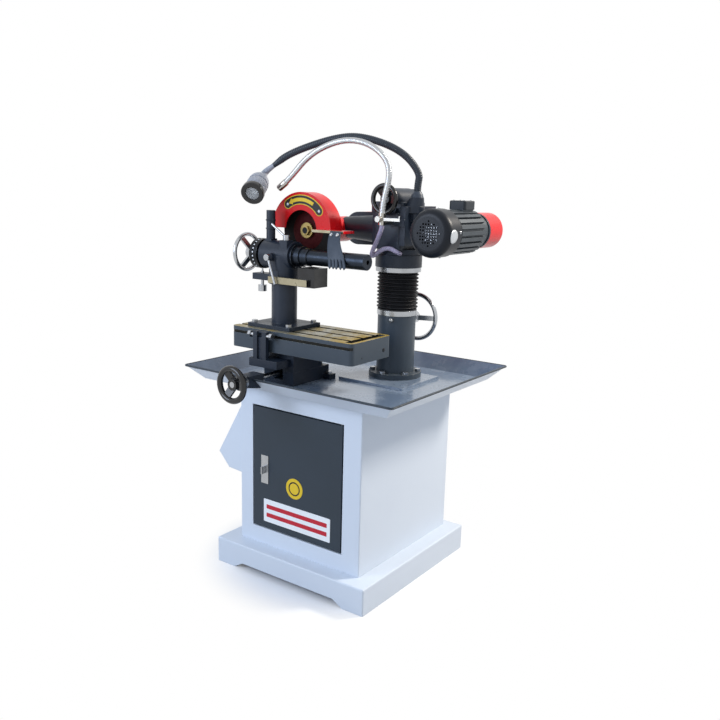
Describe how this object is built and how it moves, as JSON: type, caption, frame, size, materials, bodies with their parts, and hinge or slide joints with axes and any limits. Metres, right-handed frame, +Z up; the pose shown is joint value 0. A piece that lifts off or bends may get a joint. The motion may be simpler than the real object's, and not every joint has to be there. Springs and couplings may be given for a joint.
{
  "type": "circular saw blade sharpener",
  "caption": "Floor-standing saw blade sharpener: cabinet with a coolant tray, slides and blade arbor below a belt-driven grinding wheel on a lifting head.",
  "frame": {"origin": "on the floor under the middle of the plinth, at the centre of its anchor holes", "axes": "+X along the door face to the operator's right, +Y to the rear, +Z up"},
  "size_m": [0.784, 0.763, 1.3727],
  "materials": {
    "white_enamel": "gloss",
    "grey_enamel": "gloss",
    "tray_enamel": "satin",
    "machine_enamel": "painted satin",
    "ground_iron": "ground, oiled",
    "red_enamel": "gloss",
    "bright_steel": "turned",
    "chrome_plate": "polished",
    "blackened_steel": "blackened",
    "brass": "turned",
    "black_enamel": "satin",
    "motor_alloy": "painted satin",
    "black_moulding": "moulded",
    "lamp_moulding": "moulded",
    "lamp_glass": "clear",
    "black_rubber": "matte",
    "abrasive": "bonded grit",
    "clear_tube": "soft translucent",
    "green_button": "moulded",
    "red_button": "moulded"
  },
  "bodies": {
    "base": {"plinth": "white_enamel", "cabinet": "white_enamel", "hinge_pins": "bright_steel", "control_box": "white_enamel", "tray": "tray_enamel", "column": "machine_enamel", "foot_bolts": "bright_steel", "column_bush": "bright_steel", "bellows": "black_rubber", "cross_base": "machine_enamel", "screw_bracket": "machine_enamel"},
    "door": {"door": "grey_enamel", "latch_plate": "bright_steel"},
    "latch": {"latch_key": "bright_steel"},
    "start": {"start_button": "green_button"},
    "stop": {"stop_button": "red_button"},
    "saddle": {"saddle": "machine_enamel", "stop_bracket": "machine_enamel", "stop_screws": "bright_steel"},
    "cross_wheel": {"cross_screw": "bright_steel", "cross_handwheel": "black_moulding"},
    "table": {"table": "ground_iron", "work_post": "machine_enamel", "post_bolts": "bright_steel"},
    "work_head": {"work_head": "machine_enamel", "tooth_rest": "bright_steel"},
    "work_spindle": {"work_spindle": "bright_steel", "index_ring": "blackened_steel", "work_handwheel": "chrome_plate"},
    "swivel_lever": {"swivel_lever": "bright_steel"},
    "spindle_lever": {"spindle_lever": "bright_steel"},
    "index_plunger": {"index_plunger": "bright_steel"},
    "lift": {"lift_ram": "bright_steel", "head_collar": "machine_enamel", "head_base": "machine_enamel"},
    "lift_nut": {"lift_nut": "brass"},
    "lift_wheel": {"lift_shaft": "bright_steel", "lift_handwheel": "chrome_plate"},
    "carriage": {"head_carriage": "machine_enamel", "spindle_bearings": "bright_steel", "wheel_guard": "red_enamel", "motor_body": "motor_alloy", "terminal_box": "black_moulding", "fan_cover": "black_enamel", "drive_belt": "black_rubber", "belt_guard": "red_enamel", "lamp_base": "black_enamel", "lamp_gooseneck": "black_moulding", "lamp_head": "lamp_moulding", "lamp_lens": "lamp_glass", "coolant_valve": "brass", "coolant_hose": "chrome_plate", "coolant_tube": "clear_tube"},
    "infeed_wheel": {"infeed_handwheel": "black_moulding"},
    "grinding": {"grinding_spindle": "bright_steel", "grinding_wheel": "abrasive", "wheel_nut": "brass"},
    "motor_rotor": {"motor_rotor": "bright_steel"},
    "flap": {"splash_flap": "black_rubber"},
    "valve_lever": {"valve_lever": "bright_steel"}
  },
  "joints": [
    {"name": "door_hinge", "type": "hinge", "parent": "base", "child": "door", "pos_m": [0.159, -0.2325, 0.3395], "axis": [0, 0, 1], "range_deg": [0, 110]},
    {"name": "latch_turn", "type": "hinge", "parent": "door", "child": "latch", "pos_m": [-0.132, -0.242, 0.337], "axis": [0, -1, 0], "range_deg": [0, 90]},
    {"name": "start_press", "type": "slide", "parent": "base", "child": "start", "axis": [0.8634, 0, -0.5045], "range_m": [0, 0.004], "stiffness_N_per_m": 600, "springref_m": -0.003},
    {"name": "stop_press", "type": "slide", "parent": "base", "child": "stop", "axis": [0.8634, 0, -0.5045], "range_m": [0, 0.004], "stiffness_N_per_m": 600, "springref_m": -0.003},
    {"name": "cross_feed", "type": "slide", "parent": "base", "child": "saddle", "axis": [0, 1, 0], "range_m": [-0.06, 0.024]},
    {"name": "cross_wheel_turn", "type": "hinge", "parent": "base", "child": "cross_wheel", "pos_m": [-0.118, -0.3885, 0.642], "axis": [0, 1, 0], "range_deg": [-4340, 1748]},
    {"name": "table_traverse", "type": "slide", "parent": "saddle", "child": "table", "axis": [1, 0, 0], "range_m": [-0.1, 0.07]},
    {"name": "work_head_swivel", "type": "hinge", "parent": "table", "child": "work_head", "pos_m": [-0.155, -0.128, 0.912], "axis": [0, 0, 1], "range_deg": [0, 12]},
    {"name": "work_spindle_turn", "type": "hinge", "parent": "work_head", "child": "work_spindle", "pos_m": [-0.226, -0.128, 1], "axis": [1, 0, 0], "continuous": true},
    {"name": "swivel_lock", "type": "hinge", "parent": "work_head", "child": "swivel_lever", "pos_m": [-0.128, -0.152, 1.048], "axis": [0, 0, 1], "range_deg": [0, 60]},
    {"name": "spindle_lock", "type": "hinge", "parent": "work_head", "child": "spindle_lever", "pos_m": [-0.165, -0.188, 0.996], "axis": [0, 1, 0], "range_deg": [-30, 30]},
    {"name": "index_pull", "type": "slide", "parent": "work_head", "child": "index_plunger", "axis": [0, 0, 1], "range_m": [0, 0.007]},
    {"name": "lift", "type": "slide", "parent": "base", "child": "lift", "axis": [0, 0, 1], "range_m": [0, 0.11], "deforming": ["bellows"]},
    {"name": "lift_nut_turn", "type": "hinge", "parent": "base", "child": "lift_nut", "pos_m": [0.105, 0.122, 0.7354], "axis": [0, 0, 1], "range_deg": [-6620, 20]},
    {"name": "lift_wheel_turn", "type": "hinge", "parent": "base", "child": "lift_wheel", "pos_m": [0.105, 0.222, 0.795], "axis": [0, 1, 0], "range_deg": [-17620, 20]},
    {"name": "infeed", "type": "slide", "parent": "lift", "child": "carriage", "axis": [0, 1, 0], "range_m": [-0.025, 0]},
    {"name": "infeed_wheel_turn", "type": "hinge", "parent": "carriage", "child": "infeed_wheel", "pos_m": [0.105, 0.044, 1.178], "axis": [0, 1, 0], "range_deg": [-3020, 20]},
    {"name": "motor_spin", "type": "hinge", "parent": "carriage", "child": "motor_rotor", "pos_m": [0.312, 0.102, 1.088], "axis": [0, 1, 0], "continuous": true},
    {"name": "spindle_spin", "type": "hinge", "parent": "carriage", "child": "grinding", "pos_m": [-0.128, -0.024, 1.075], "axis": [0, 1, 0], "continuous": true},
    {"name": "flap_swing", "type": "hinge", "parent": "carriage", "child": "flap", "pos_m": [0.016, -0.118, 1.079], "axis": [1, 0, 0], "range_deg": [-38.8, 16.1]},
    {"name": "valve_turn", "type": "hinge", "parent": "carriage", "child": "valve_lever", "pos_m": [0.126, -0.021, 1.12], "axis": [0, 1, 0], "range_deg": [0, 90]}
  ],
  "couplings": [
    {"joint": "cross_wheel_turn", "follows": "cross_feed", "rad_per_m": 1256.6},
    {"joint": "flap_swing", "follows": "cross_feed", "rad_per_m": 11},
    {"joint": "lift_nut_turn", "follows": "lift", "rad_per_m": -1047.2},
    {"joint": "lift_wheel_turn", "follows": "lift", "rad_per_m": -2792.5},
    {"joint": "infeed_wheel_turn", "follows": "infeed", "rad_per_m": 2094.4},
    {"joint": "spindle_spin", "follows": "motor_spin", "ratio": 1.1791}
  ]
}
